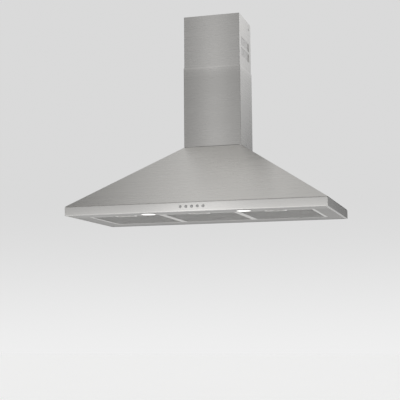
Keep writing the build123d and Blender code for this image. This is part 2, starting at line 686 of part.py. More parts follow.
def blower_plate():
    """The plate under the canopy's top that carries the blower, with two legs down the scroll's back."""
    top = CANOPY_TOP - SHEET
    low = top - 1.5
    plate = block([-HALF_CHIMNEY + 1, HALF_CHIMNEY - 1], [2.5 - CHIMNEY_DEPTH, -BACK_SHEET], [low, top])
    scroll_back = SCROLL_Y + 3 * SCROLL_STEP + SCROLL_START
    plate += mirrored_block([20, 50], [scroll_back, scroll_back + 1.5], [SCROLL_OUTLET - 40, top])
    plate -= upright(SPIGOT_RADIUS - 0.6, (0, SPIGOT_Y), [low - 1, top + 1])
    return plate - upright(GLAND_RADIUS, GLAND_AT, [low - 5, top + 5])


def cable_gland():
    """The bush that the mains lead leaves by, beside the collar, inside the chimney."""
    top = CANOPY_TOP - SHEET
    gland = upright(8.5, GLAND_AT, [top, top + 4]) + upright(GLAND_RADIUS, GLAND_AT, [top - 1.5, top])
    gland += upright(8.5, GLAND_AT, [top - 4.5, top - 1.5])
    gland += upright(6.2, GLAND_AT, [top + 4, top + 14])
    return gland - upright(GLAND_BORE, GLAND_AT, [top - 10, top + 20])


# ---- Outlet collar and flaps -------------------------------------------------------------------


def outlet_collar():
    """The round collar for the duct, with a seat and four bearing holes for the flaps."""
    centre = (0, SPIGOT_Y)
    base = CANOPY_TOP - SHEET
    collar = upright(SPIGOT_RADIUS, centre, [base, COLLAR_TOP])
    collar += upright(COLLAR_FLANGE_RADIUS, centre, [base, base + 2])
    collar -= upright(SPIGOT_RADIUS - COLLAR_WALL, centre, [SEAT_TOP, COLLAR_TOP + 1])
    collar -= upright(SPIGOT_RADIUS - COLLAR_WALL - 5, centre, [base - 1, SEAT_TOP + 1])
    for side in (-1, 1):
        axis = (SPIGOT_Y + side * FLAP_AXIS_OFFSET, FLAP_AXIS_Z)
        collar -= along_x(FLAP_PIN_RADIUS + 0.06, axis, [-SPIGOT_RADIUS - 1, SPIGOT_RADIUS + 1])
    return collar


def flap(side):
    """A half-round flap on a barrel whose pins turn in the collar, closed under its own weight."""
    axis = (SPIGOT_Y + side * FLAP_AXIS_OFFSET, FLAP_AXIS_Z)
    radius = SPIGOT_RADIUS - COLLAR_WALL - 0.8
    low = SEAT_TOP + 0.1
    disc = upright(radius, (0, SPIGOT_Y), [low, low + FLAP_THICKNESS])
    keep_y = sorted([axis[0], axis[0] + side * 200])
    half = disc & block([-200, 200], keep_y, [0, 400])
    barrel_end = radius - 4
    barrel = along_x(FLAP_BARREL_RADIUS, axis, [-barrel_end, barrel_end])
    pins = along_x(FLAP_PIN_RADIUS, axis, [-SPIGOT_RADIUS + 0.5, SPIGOT_RADIUS - 0.5])
    return half + barrel + pins


# ---- Chimney -----------------------------------------------------------------------------------


def channel(half, front, back, z, lip_top):
    """A three-sided cover with its back edges turned in, standing between two levels."""
    cover = block([-half, half], [-front, -back], z)
    corners = [e for e in cover.edges() if abs((e % 0.5).Z) > 0.9 and (e @ 0.5).Y < -front + 1]
    cover = fillet(corners, EDGE_RADIUS)
    inside = half - SHEET
    cover -= block([-inside, inside], [SHEET - front, -back - SHEET], [z[0] - 1, z[1] + 1])
    between = half - COVER_LIP
    cover -= block([-between, between], [-back - SHEET - 1, 2], [z[0] - 1, z[1] + 1])
    if lip_top < z[1]:
        cover -= block([-inside, inside], [-back - SHEET - 1, 2], [lip_top, z[1] + 1])
    return cover


def chimney_lower():
    """The lower chimney cover, screwed to two tabs on the canopy."""
    bottom = CANOPY_TOP + COVER_SEAM
    cover = channel(HALF_CHIMNEY, CHIMNEY_DEPTH, 0, [bottom, LOWER_COVER_TOP], LOWER_COVER_TOP)
    return cover - along_x(2.2, (SPIGOT_Y, TAB_SCREW_Z), [-HALF_CHIMNEY - 5, HALF_CHIMNEY + 5])


def cover_tabs():
    """Two angle tabs on the canopy's top that the lower cover is screwed to."""
    inside = HALF_CHIMNEY - SHEET - 0.1
    tabs = []
    for side in (-1, 1):
        y = [SPIGOT_Y - 12, SPIGOT_Y + 12]
        foot = block([side * (HALF_CHIMNEY - TOP_LIP), side * inside], y, [CANOPY_TOP, CANOPY_TOP + 1.2])
        leg = block([side * (inside - 1.2), side * inside], y, [CANOPY_TOP, TAB_SCREW_Z + 5])
        hole = along_x(1.6, (SPIGOT_Y, TAB_SCREW_Z), [side * 80, side * 120])
        tabs.append(foot + leg - hole)
    return Compound(tabs)


def side_screw(side, surface, centre, reach):
    """A small pan-head screw driven in from the side of a cover."""
    head = along_x(3.4, centre, [side * surface, side * (surface + 1.8)])
    crown = [e for e in head.edges() if abs(abs((e @ 0.5).X) - surface - 1.8) < 0.01]
    crown = [e for e in crown if abs(abs((e @ 0).X) - surface - 1.8) < 0.01]
    return fillet(crown, 0.9) + along_x(1.5, centre, [side * (surface - reach), side * surface])


def cover_screws():
    """The two screws of the lower cover."""
    centre = (SPIGOT_Y, TAB_SCREW_Z)
    return Compound([side_screw(side, HALF_CHIMNEY, centre, 5) for side in (-1, 1)])


def chimney_upper():
    """The sliding upper cover, with rows of upright air slots in both sides near its top."""
    z = [UPPER_COVER_BOTTOM, UPPER_COVER_TOP]
    cover = channel(UPPER_HALF, UPPER_FRONT, UPPER_BACK, z, UPPER_COVER_TOP - 45)
    slot = SlotOverall(VENT_HEIGHT, VENT_WIDTH, rotation=90)
    for row in range(VENT_ROWS):
        height = VENT_FIRST_ROW + row * VENT_ROW_PITCH
        for column in range(VENT_COLUMNS):
            y = SPIGOT_Y + (column - (VENT_COLUMNS - 1) / 2) * VENT_PITCH
            cutter = Plane.YZ * Pos(y, height) * slot
            cover -= extrude(cutter, UPPER_HALF + 5, both=True)
    return cover - along_x(2.2, (SIDE_SCREW_Y, BRACKET_Z), [-UPPER_HALF - 5, UPPER_HALF + 5])


def chimney_bracket():
    """The wall bracket inside the upper cover's top: a strip with two ears for the side screws."""
    inside = UPPER_HALF - SHEET - 0.1
    z = [BRACKET_Z - 12, BRACKET_Z + 12]
    bracket = block([-inside, inside], [-2, 0], z)
    bracket += mirrored_block([inside - 2, inside], [-40, 0], z)
    bracket -= along_x(1.6, (SIDE_SCREW_Y, BRACKET_Z), [-120, 120])
    for side in (-1, 1):
        bracket -= along_y(BRACKET_HOLE_RADIUS, (side * BRACKET_HOLE_X, BRACKET_Z), [-5, 5])
    return bracket


def bracket_screws():
    """The two screws of the upper cover."""
    return Compound([side_screw(side, UPPER_HALF, (SIDE_SCREW_Y, BRACKET_Z), 6) for side in (-1, 1)])


# ---- Electrical pieces -------------------------------------------------------------------------


def rounded_slab(half_x, half_z, y, radius):
    """A slab round the control box's middle, its corners rounded as seen from the front."""
    x, z = CONTROL_BOX_AT
    slab = block([x - half_x, x + half_x], y, [z - half_z, z + half_z])
    return fillet([e for e in slab.edges() if abs((e % 0.5).Y) > 0.9], radius)


def control_box():
    """The junction box on the back panel, beside the blower, with three bushes for leads in its side."""
    half_x, half_z = CONTROL_BOX_HALF
    box = rounded_slab(half_x, half_z, [CONTROL_BOX_FRONT, -BACK_SHEET], 4)
    side = CONTROL_BOX_AT[0] + half_x
    for i in (-1, 0, 1):
        box += along_x(5, (-20, CONTROL_BOX_AT[1] + 17 * i), [side - 2, side + 5])
    return box


def control_box_lid():
    """The junction box's lid: a rim, a raised middle and four sunk screw seats."""
    half_x, half_z = CONTROL_BOX_HALF
    front = CONTROL_BOX_FRONT
    lid = rounded_slab(half_x + 2, half_z + 2, [front - 3, front], 5)
    lid += rounded_slab(half_x - 10, half_z - 3, [front - 6, front - 3], 4)
    for side_x in (-1, 1):
        for side_z in (-1, 1):
            seat = (CONTROL_BOX_AT[0] + side_x * (half_x - 4), CONTROL_BOX_AT[1] + side_z * (half_z - 5))
            lid -= along_y(3, seat, [front - 5, front - 1.5])
    return lid


def capacitor():
    """The motor's run capacitor, with its two spade terminals."""
    centre = (CAPACITOR_X, -BACK_SHEET - CAPACITOR_RADIUS)
    top = CAPACITOR_Z[1]
    can = upright(CAPACITOR_RADIUS, centre, CAPACITOR_Z)
    can = fillet(edges_on_level(can, top), 2) + upright(8, centre, [top, top + 2])
    for x in (CAPACITOR_X - 4, CAPACITOR_X + 4):
        can += block([x - 0.4, x + 0.4], [centre[1] - 3.2, centre[1] + 3.2], [top + 2, top + 10])
    return can


def capacitor_clip():
    """The strap round the capacitor, screwed to the back panel by a foot on each side."""
    centre = (CAPACITOR_X, -BACK_SHEET - CAPACITOR_RADIUS)
    middle = sum(CAPACITOR_Z) / 2
    z = [middle - 7, middle + 7]
    outer = CAPACITOR_RADIUS + 1
    clip = upright(outer, centre, z)
    clip += block([CAPACITOR_X - outer, CAPACITOR_X + outer], [centre[1], -BACK_SHEET], z)
    clip += block([CAPACITOR_X - outer - 12, CAPACITOR_X + outer + 12], [-BACK_SHEET - 1, -BACK_SHEET], z)
    clip -= upright(CAPACITOR_RADIUS, centre, [z[0] - 1, z[1] + 1])
    inner = [CAPACITOR_X - CAPACITOR_RADIUS, CAPACITOR_X + CAPACITOR_RADIUS]
    clip -= block(inner, [centre[1], 1], [z[0] - 1, z[1] + 1])
    for side in (-1, 1):
        clip -= along_y(2.2, (CAPACITOR_X + side * (outer + 6), middle), [-5, 0])
    return clip


# ---- Assembly ----------------------------------------------------------------------------------


def build_nodes():
    """Every sub-part by its name."""
    nodes = {
        "canopy_top_frame": canopy_top_frame(),
        "canopy_base_frame": canopy_base_frame(),
        "rim_band": rim_band(),
        "back_panel": back_panel(),
        "underside_pan": underside_pan(),
        "support_bars": support_bars(),
        "button_guide": button_guide(),
        "switch_block": switch_block(),
        "blower_plate": blower_plate(),
        "blower_housing": blower_housing(),
        "outlet_adaptor": outlet_adaptor(),
        "outlet_collar": outlet_collar(),
        "flap_front": flap(-1),
        "flap_back": flap(1),
        "motor": motor(),
        "motor_bracket": motor_bracket(),
        "blower_wheel": blower_wheel(),
        "motor_shaft": motor_shaft(),
        "shaft_nut": shaft_nut(),
        "control_box": control_box(),
        "control_box_lid": control_box_lid(),
        "capacitor": capacitor(),
        "capacitor_clip": capacitor_clip(),
        "cable_gland": cable_gland(),
        "chimney_lower": chimney_lower(),
        "cover_tabs": cover_tabs(),
        "cover_screws": cover_screws(),
        "chimney_upper": chimney_upper(),
        "chimney_bracket": chimney_bracket(),
        "bracket_screws": bracket_screws(),
    }
    for name, sheet in canopy_sheets().items():
        nodes[f"canopy_{name}_sheet"] = sheet
    for name, x in zip(FILTER_NAMES, FILTER_X):
        nodes[f"filter_frame_{name}"] = filter_frame(x)
        nodes[f"filter_mesh_{name}"] = filter_mesh(x)
        nodes[f"filter_grip_{name}"] = filter_grip(x)
        nodes[f"filter_latch_{name}"] = filter_latch(x)
    for name, x in (("left", -LAMP_X), ("right", LAMP_X)):
        nodes[f"lamp_bezel_{name}"] = lamp_bezel(x)
        nodes[f"lamp_lens_{name}"] = lamp_lens(x)
        nodes[f"lamp_body_{name}"] = lamp_body(x)
    for number, x in enumerate(BUTTON_X, start=1):
        nodes[f"button_{number}"] = button(x)
    return nodes


os.makedirs("parts", exist_ok=True)
for node, shape in build_nodes().items():
    export_step(shape, f"parts/{node}.step")
print("side slope", round(degrees(SIDE_SLOPE), 1), "front slope", round(degrees(FRONT_SLOPE), 1))
print("filter hinge line y", FILTER_BACK - FIT, "z", PAN_BOTTOM)
print("wheel axis y", WHEEL_Y, "z", WHEEL_Z, "flap axis z", FLAP_AXIS_Z)
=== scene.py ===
# %% [markdown]
# # A chimney range hood in brushed stainless steel
# The hood hangs on a wall over a cooker. Its shell is folded from thin stainless sheet, and nearly all
# of its looks come from how that sheet is brushed and from what it mirrors. The engineering model gives
# the shapes, so this lesson gives the finishes, the open metal mesh of the grease filters and the light
# of the lamps.
#
# The wall is the plane Y = 0, the hood reaches out along -Y and +Z is up. All sizes are in metres.

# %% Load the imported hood
import math

import bmesh
import bpy
from mathutils import Matrix, Vector


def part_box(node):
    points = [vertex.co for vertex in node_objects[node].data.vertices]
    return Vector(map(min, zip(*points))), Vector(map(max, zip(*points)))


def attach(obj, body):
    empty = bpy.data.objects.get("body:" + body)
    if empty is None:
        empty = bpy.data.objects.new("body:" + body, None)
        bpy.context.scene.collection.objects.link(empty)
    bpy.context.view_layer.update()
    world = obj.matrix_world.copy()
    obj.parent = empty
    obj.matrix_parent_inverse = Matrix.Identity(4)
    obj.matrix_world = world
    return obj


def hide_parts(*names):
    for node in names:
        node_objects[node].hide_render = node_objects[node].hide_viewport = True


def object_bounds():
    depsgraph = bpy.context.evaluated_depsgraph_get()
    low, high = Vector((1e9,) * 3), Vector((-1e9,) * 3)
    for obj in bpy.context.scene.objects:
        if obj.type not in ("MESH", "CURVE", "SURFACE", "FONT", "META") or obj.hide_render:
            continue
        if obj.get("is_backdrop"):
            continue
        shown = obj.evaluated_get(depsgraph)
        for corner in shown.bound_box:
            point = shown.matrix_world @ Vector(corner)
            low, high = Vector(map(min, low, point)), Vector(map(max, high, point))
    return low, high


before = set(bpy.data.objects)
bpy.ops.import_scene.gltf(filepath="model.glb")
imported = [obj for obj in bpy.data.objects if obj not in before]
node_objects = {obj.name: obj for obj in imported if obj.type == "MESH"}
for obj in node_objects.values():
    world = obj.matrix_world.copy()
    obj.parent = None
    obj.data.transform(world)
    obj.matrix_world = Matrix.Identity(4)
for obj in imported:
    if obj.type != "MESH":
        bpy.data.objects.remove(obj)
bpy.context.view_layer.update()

# %% [markdown]
# ## The camera
# The photograph looks up at the hood from a little to its right, from far away, so its lines run nearly
# parallel. The place and the angles come from fitting the corners of the rim, the canopy and the chimney,
# and the lamps and buttons. Three turns in a row, written as matrices, are easier to check than Euler angles.

# %% Camera
SENSOR, LENS = 36.0, 92.99                      # millimetres
CAMERA_PLACE = (0.9517, -3.6873, -0.3555)
YAW, PITCH, ROLL = 0.2776, 0.1157, -0.0087      # radians
camera = bpy.data.objects.new("camera", bpy.data.cameras.new("camera"))
bpy.context.scene.collection.objects.link(camera)
camera.data.sensor_width = SENSOR
camera.data.lens = LENS
turn = (
    Matrix.Rotation(YAW, 4, "Z")
    @ Matrix.Rotation(math.pi / 2 + PITCH, 4, "X")
    @ Matrix.Rotation(ROLL, 4, "Z")
)
camera.matrix_world = Matrix.Translation(CAMERA_PLACE) @ turn
bpy.context.scene.camera = camera
bpy.context.scene.view_settings.view_transform = "Standard"

# %% [markdown]
# ## Small helpers for materials
# Every finish here is a Principled shader with a few procedural nodes in front of it. The helpers keep
# the wiring short: one makes the material, one adds a node, one stretches a noise along the object's
# own axes. Patterns read Object coordinates, so they stay put when a piece moves.


# %% Material helpers
class Finish:
    """A material whose nodes are added one by one in front of its Principled shader."""

    def __init__(self, name, colour, metallic=0.0, roughness=0.5):
        self.material = bpy.data.materials.new(name)
        self.material.use_nodes = True
        self.nodes = self.material.node_tree.nodes
        self.links = self.material.node_tree.links
        self.shader = self.nodes["Principled BSDF"]
        self.colour = tuple(colour)
        self.set("Base Color", (*colour, 1.0))
        self.set("Metallic", metallic)
        self.set("Roughness", roughness)
        self.material.diffuse_color = (*colour, 1.0)

    def set(self, socket, value):
        self.shader.inputs[socket].default_value = value

    def node(self, kind, **values):
        made = self.nodes.new(kind)
        for key, value in values.items():
            if hasattr(made, key):
                setattr(made, key, value)
            else:
                made.inputs[key].default_value = value
        return made

    def join(self, source, target):
        self.links.new(source, target)

    def place(self, scale=(1, 1, 1), location=(0, 0, 0)):
        """Object coordinates, stretched and moved by a Mapping node."""
        coordinates = self.node("ShaderNodeTexCoord")
        mapping = self.node("ShaderNodeMapping")
        mapping.inputs["Scale"].default_value = scale
        mapping.inputs["Location"].default_value = location
        self.join(coordinates.outputs["Object"], mapping.inputs["Vector"])
        return mapping.outputs["Vector"]

    def noise(self, scale, detail=2.0, roughness=0.5):
        """A noise between about 0 and 1 whose grain size is set per axis, in cycles per metre."""
        texture = self.node("ShaderNodeTexNoise", Scale=1.0, Detail=detail, Roughness=roughness)
        self.join(self.place(scale), texture.inputs["Vector"])
        return texture.outputs["Fac"]

    def spread(self, value, low, high, from_low=0.3, from_high=0.7):
        """The same value, moved into another range."""
        ranged = self.node("ShaderNodeMapRange")
        limits = {"From Min": from_low, "From Max": from_high, "To Min": low, "To Max": high}
        for socket, number in limits.items():
            ranged.inputs[socket].default_value = number
        self.join(value, ranged.inputs["Value"])
        return ranged.outputs["Result"]

    def math(self, operation, first, second):
        made = self.node("ShaderNodeMath", operation=operation)
        for socket, value in zip(made.inputs, (first, second)):
            if isinstance(value, (int, float)):
                socket.default_value = value
            else:
                self.join(value, socket)
        return made.outputs["Value"]

    def tint(self, value):
        """Multiplies the base colour by a value, which may go a little above one."""
        mixed = self.node("ShaderNodeMix", data_type="RGBA", blend_type="MULTIPLY")
        mixed.inputs["Factor"].default_value = 1.0
        mixed.inputs["A"].default_value = (*self.colour, 1.0)
        grey = self.node("ShaderNodeCombineColor")
        for channel in ("Red", "Green", "Blue"):
            self.join(value, grey.inputs[channel])
        self.join(grey.outputs["Color"], mixed.inputs["B"])
        self.join(mixed.outputs["Result"], self.shader.inputs["Base Color"])

    def bump(self, value, depth, under=None):
        """Raises the surface by a value times a depth in metres."""
        bump = self.node("ShaderNodeBump", Strength=1.0, Distance=depth)
        self.join(value, bump.inputs["Height"])
        if under is not None:
            self.join(under, bump.inputs["Normal"])
        self.join(bump.outputs["Normal"], self.shader.inputs["Normal"])
        return bump.outputs["Normal"]

    def roughen(self, value):
        self.join(value, self.shader.inputs["Roughness"])


def dress(finish, *names):
    """Gives carried-over nodes their finish."""
    for name in names:
        piece = node_objects[name]
        if not piece.material_slots:
            piece.data.materials.append(finish.material)
        for held in piece.material_slots:
            held.material = finish.material


# %% [markdown]
# ## Brushed stainless steel
# The sheet is drawn under an abrasive belt, which leaves fine scratches along one direction. Each scratch
# mirrors sharply along itself and blurs across itself, so a lamp turns into a long streak that stands
# across the grain. The shader's anisotropy does this without any geometry: it only needs the direction of
# the blur, as a tangent. On top come faint grain lines, a slow bow of the thin sheet, and faint wiping marks.
# The walls of the hood are brushed level, so their grain changes quickly with height. The underside is
# brushed from left to right, so its grain changes quickly with depth. Its steel is painted darker than the
# walls', as painted shade, and its strip in front of the filters, with the lamps in it, is lighter with
# painted light.


# %% Brushed stainless steel
BOW_DEPTH = 0.0010          # how far a sheet bows out of flat
GRAIN_DEPTH = 0.00002       # depth of the belt's scratches


def brushed_steel(name, colour, grain, blur_along, roughness=0.28, anisotropy=0.82):
    steel = Finish(name, colour, metallic=1.0, roughness=roughness)
    steel.set("Anisotropic", anisotropy)
    direction = steel.node("ShaderNodeCombineXYZ")
    for socket, value in zip(direction.inputs, blur_along):
        socket.default_value = value
    steel.join(direction.outputs["Vector"], steel.shader.inputs["Tangent"])

    steel.lines = steel.noise(grain, detail=4.0, roughness=0.62)
    steel.slow = steel.noise((2.2, 2.2, 2.6), detail=0.0)
    wiped = steel.noise((5.0, 5.0, 14.0), detail=1.0)
    grain_shade = steel.spread(steel.lines, 0.968, 1.026)
    steel.tint(steel.math("MULTIPLY", grain_shade, steel.spread(steel.slow, 0.985, 1.012)))
    rough = steel.spread(wiped, roughness - 0.012, roughness + 0.012)
    steel.roughen(steel.math("ADD", rough, steel.spread(steel.lines, -0.02, 0.02)))
    steel.bowed = steel.bump(steel.slow, BOW_DEPTH)
    steel.bump(steel.lines, GRAIN_DEPTH, under=steel.bowed)
    return steel


def shaded_along(steel, axis, start, end, stops):
    """Paints light and shade: multiplies a steel's colour by levels that follow one axis between two limits.
    """
    place = steel.node("ShaderNodeSeparateXYZ")
    steel.join(steel.place(), place.inputs["Vector"])
    ramp = steel.node("ShaderNodeValToRGB")
    ramp.color_ramp.elements[0].color = (stops[0][1],) * 3 + (1.0,)
    ramp.color_ramp.elements[1].color = (stops[-1][1],) * 3 + (1.0,)
    for position, level in stops[1:-1]:
        ramp.color_ramp.elements.new(position).color = (level,) * 3 + (1.0,)
    steel.join(steel.spread(place.outputs[axis], 0.0, 1.0, start, end), ramp.inputs["Fac"])
    # The levels are painted light and shade, multiplied into the colour.
    painted_light_mix = steel.node("ShaderNodeMix", data_type="RGBA", blend_type="MULTIPLY")
    painted_light_mix.inputs["Factor"].default_value = 1.0
    steel.join(steel.shader.inputs["Base Color"].links[0].from_socket, painted_light_mix.inputs["A"])
    steel.join(ramp.outputs["Color"], painted_light_mix.inputs["B"])
    steel.join(painted_light_mix.outputs["Result"], steel.shader.inputs["Base Color"])


WALL_GRAIN = (4.0, 4.0, 900.0)
FLOOR_GRAIN = (4.0, 900.0, 4.0)
UP = (0.01, 0.06, 1.0)
OUT = (0.01, 1.0, 0.06)
stainless = (0.575, 0.565, 0.545)
canopy_steel = brushed_steel("canopy_steel", stainless, WALL_GRAIN, UP)
# The underside's steel is a darker copy of the stainless: painted shade on the face that looks down.
pan_steel = brushed_steel("pan_steel", (0.275, 0.271, 0.264), FLOOR_GRAIN, OUT, roughness=0.34)
grip_polish = brushed_steel("grip_polish", (0.90, 0.893, 0.88), FLOOR_GRAIN, OUT, roughness=0.26)
canopy_pieces = [name for name in node_objects if name.startswith("canopy_")]
dress(canopy_steel, *canopy_pieces)
dress(pan_steel, "underside_pan")
FRONT_STRIP = 0.105         # depth of the strip before the filters, whose last third fades out
front_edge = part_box("underside_pan")[0].y
# Painted light: the strip in front of the filters, where the lamps sit, is lighter.
strip_painted_light_levels = [(0.0, 1.24), (0.7, 1.24), (1.0, 1.0)]
shaded_along(pan_steel, "Y", front_edge, front_edge + FRONT_STRIP, strip_painted_light_levels)
print("brushed canopy pieces", len(canopy_pieces))

# %% [markdown]
# ## The rim, with painted light towards its lower fold
# The rim is the same sheet. A ramp on the height within the object paints light on the face downwards and a
# painted highlight on a band two millimetres high just above the edge, where the fold catches the light. The
# fold under the edge gets painted shade. The rim is also polished more than the canopy, so it mirrors the
# bright horizon of the room and not the dim part above that. Its sides get painted shade, a little darker
# towards the wall. Its
# sides grow a little darker towards the wall, where less is wiped.

# %% Rim finish
rim_low, rim_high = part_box("rim_band")
rim_steel = brushed_steel("rim_steel", (0.60, 0.592, 0.578), WALL_GRAIN, UP, roughness=0.22, anisotropy=0.6)
# Painted light on the face downwards, a painted highlight just above the lower edge, painted shade on the
# fold under it.
rim_painted_light_levels = [(0.0, 0.60), (0.012, 0.60), (0.025, 1.36), (0.09, 1.32), (0.13, 1.13), (0.5, 1.06), (1.0, 0.98)]
shaded_along(rim_steel, "Z", rim_low.z, rim_high.z, rim_painted_light_levels)
# Painted shade: the rim's sides grow darker towards the wall.
side_painted_shade_levels = [(0.0, 1.0), (0.02, 1.0), (0.03, 1.08), (0.5, 0.90), (1.0, 0.78)]
shaded_along(rim_steel, "Y", rim_low.y, rim_high.y, side_painted_shade_levels)
dress(rim_steel, "rim_band")

# %% [markdown]
# ## The chimney's crowned covers
# A folded cover is never quite flat: its faces stand out by one or two millimetres in the middle. That
# is enough to turn its mirror image into a light band between two darker ones. A bump whose height is the
# square of the distance from the cover's middle plane gives that crown. It works on each face by itself,
# because on the front only X changes and on the sides only Y. A painted highlight, standing in for the mirror
# image of a slight outward flare, makes the lower cover lighter up to its top edge. The lower cover's steel
# is darker than the canopy's, and the upper cover, which sits inside the lower one, is lighter as a whole.


# %% Chimney finishes
LOWER_CROWN, UPPER_CROWN = 0.18, 0.15
EDGE_HIGHLIGHT_HEIGHT = 0.040         # height of the band that brightens up to the lower cover's top edge


def crowned(steel, centre, rise):
    """Bows every upright face outwards: it falls back by rise metres at one metre from its middle."""
    apart = steel.node("ShaderNodeVectorMath", operation="LENGTH")
    steel.join(steel.place((1, 1, 0), location=(-centre.x, -centre.y, 0)), apart.inputs[0])
    squared = steel.math("POWER", apart.outputs["Value"], 2.0)
    crown = steel.node("ShaderNodeBump", Strength=1.0, Distance=rise)
    crown.invert = True
    steel.join(squared, crown.inputs["Height"])
    steel.join(steel.bowed, crown.inputs["Normal"])
    steel.bump(steel.lines, GRAIN_DEPTH, under=crown.outputs["Normal"])


lower_low, lower_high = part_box("chimney_lower")
chimney_middle = (lower_low + lower_high) / 2
lower_steel = brushed_steel("lower_chimney_steel", (0.46, 0.453, 0.441), WALL_GRAIN, UP)
crowned(lower_steel, chimney_middle, LOWER_CROWN)
# Painted highlight: the lower cover grows lighter towards its top edge.
edge_highlight_levels = [(0.0, 1.0), (0.5, 1.05), (0.85, 1.14), (0.93, 1.26), (1.0, 1.28)]
shaded_along(lower_steel, "Z", lower_high.z - EDGE_HIGHLIGHT_HEIGHT, lower_high.z, edge_highlight_levels)
upper_steel = brushed_steel("upper_chimney_steel", (0.53, 0.522, 0.509), WALL_GRAIN, UP)
crowned(upper_steel, chimney_middle, UPPER_CROWN)
dress(lower_steel, "chimney_lower")
dress(upper_steel, "chimney_upper")
print("chimney middle", [round(v, 3) for v in chimney_middle])

# %% [markdown]
# ## Aluminium of the filters
# The filter frames are folded from plain rolled aluminium, which is whiter and softer in its mirror than
# the steel. The frames are washed often, so the surface is a little cloudy. The grip plates are brushed
# and polished aluminium, the lightest metal on the hood. Their brushing is made like the steel's.

# %% Filter aluminium
filter_aluminium = Finish("filter_aluminium", (0.63, 0.625, 0.61), metallic=1.0, roughness=0.36)
cloud = filter_aluminium.noise((30.0, 30.0, 30.0), detail=4.0)
rolled = filter_aluminium.noise((8.0, 600.0, 8.0), detail=2.0)
cloud_shade = filter_aluminium.spread(cloud, 0.94, 1.04)
rolled_shade = filter_aluminium.spread(rolled, 0.96, 1.03)
filter_aluminium.tint(filter_aluminium.math("MULTIPLY", cloud_shade, rolled_shade))
filter_aluminium.roughen(filter_aluminium.spread(cloud, 0.30, 0.44))
filter_aluminium.bump(rolled, 0.00003)
dress(filter_aluminium, "filter_frame_left", "filter_frame_centre", "filter_frame_right")
dress(grip_polish, "filter_grip_left", "filter_grip_centre", "filter_grip_right")

# %% [markdown]
# ## Galvanised sheet
# The back panel, the plate of the blower, the bars between the filters, the brackets, tabs and clip are
# plain galvanised steel. Hot zinc freezes in flat crystals, so the sheet has a patchwork of slightly
# different greys. Voronoi cells give these crystals, and a noise clouds them.

# %% Galvanised steel
galvanised = Finish("galvanised", (0.46, 0.465, 0.47), metallic=0.9, roughness=0.5)
crystals = galvanised.node("ShaderNodeTexVoronoi", Scale=1.0)
galvanised.join(galvanised.place((70.0, 70.0, 70.0)), crystals.inputs["Vector"])
patches = galvanised.node("ShaderNodeSeparateColor")
galvanised.join(crystals.outputs["Color"], patches.inputs["Color"])
dull = galvanised.noise((40.0, 40.0, 40.0), detail=5.0)
patch_shade = galvanised.spread(patches.outputs["Red"], 0.88, 1.10, 0.0, 1.0)
galvanised.tint(galvanised.math("MULTIPLY", patch_shade, galvanised.spread(dull, 0.92, 1.06)))
galvanised.roughen(galvanised.spread(patches.outputs["Green"], 0.38, 0.58, 0.0, 1.0))
galvanised.bump(dull, 0.00004)
dress(galvanised, "back_panel", "support_bars", "blower_plate", "motor_bracket")
dress(galvanised, "cover_tabs", "chimney_bracket", "capacitor_clip")

# %% [markdown]
# ## Moulded plastics
# The blower's scroll, outlet and wheel are grey glass-filled plastic, which is faintly speckled. The
# collar, the flaps, the switch body, the strip round the buttons, the control box and the gland are
# black, with the fine even texture of an eroded mould.


# %% Plastics
def moulded(name, colour, roughness, speckle):
    plastic = Finish(name, colour, roughness=roughness)
    fine = plastic.noise((2200.0, 2200.0, 2200.0), detail=2.0)
    broad = plastic.noise((25.0, 25.0, 25.0), detail=2.0)
    speckled = plastic.spread(fine, 1 - speckle, 1 + speckle)
    plastic.tint(plastic.math("MULTIPLY", speckled, plastic.spread(broad, 0.95, 1.04)))
    plastic.roughen(plastic.spread(broad, roughness - 0.06, roughness + 0.06))
    plastic.bump(fine, 0.00003)
    return plastic


black_plastic = moulded("black_plastic", (0.035, 0.036, 0.038), 0.48, 0.12)
grey_plastic = moulded("grey_plastic", (0.25, 0.26, 0.265), 0.5, 0.08)
dress(black_plastic, "outlet_collar", "flap_front", "flap_back", "switch_block", "button_guide")
dress(black_plastic, "control_box", "control_box_lid", "cable_gland")
dress(grey_plastic, "blower_housing", "outlet_adaptor", "blower_wheel")

# %% [markdown]
# ## Motor, shaft and turned pieces
# The motor's can is dipped in dark enamel, which has a slight orange-peel skin. The shaft, the nut, the
# screws and the latch bolts are turned or plated bright steel. Fine rings across the shaft show the
# turning tool's feed. The lamp housings and the capacitor's can are duller aluminium with a fine grit.

# %% Motor enamel and bright steel
motor_enamel = Finish("motor_enamel", (0.075, 0.08, 0.085), roughness=0.38)
motor_enamel.set("Coat Weight", 0.25)
peel = motor_enamel.noise((420.0, 420.0, 420.0), detail=1.0)
motor_enamel.tint(motor_enamel.spread(motor_enamel.noise((30.0, 30.0, 30.0)), 0.9, 1.1))
motor_enamel.bump(peel, 0.00008)
dress(motor_enamel, "motor")

bright_steel = Finish("bright_steel", (0.68, 0.68, 0.675), metallic=1.0, roughness=0.22)
feed = bright_steel.noise((1800.0, 60.0, 60.0), detail=1.0)
bright_steel.tint(bright_steel.spread(feed, 0.93, 1.04))
bright_steel.roughen(bright_steel.spread(feed, 0.16, 0.28))
bright_steel.bump(feed, 0.00001)
dress(bright_steel, "motor_shaft", "shaft_nut", "cover_screws", "bracket_screws")
dress(bright_steel, "filter_latch_left", "filter_latch_centre", "filter_latch_right")

cast_aluminium = Finish("cast_aluminium", (0.42, 0.42, 0.415), metallic=0.85, roughness=0.52)
grit = cast_aluminium.noise((900.0, 900.0, 900.0), detail=3.0)
cast_aluminium.tint(cast_aluminium.spread(grit, 0.9, 1.06))
cast_aluminium.bump(grit, 0.00006)
dress(cast_aluminium, "lamp_body_left", "lamp_body_right", "capacitor")

# %% [markdown]
# ## Push buttons and lamp rings
# The button caps and the lamp rings are turned and satin-chromed. Their tool marks are rings about their
# own axis, so the pattern is a distance from that axis. A Mapping node moves each axis to the middle.


# %% Turned chrome
CHROME_ROUGHNESS = 0.24
BUTTON_COUNT = 5
BUTTON_CHROME = (0.420, 0.417, 0.412)
LAMP_RING_CHROME = (0.36, 0.356, 0.35)


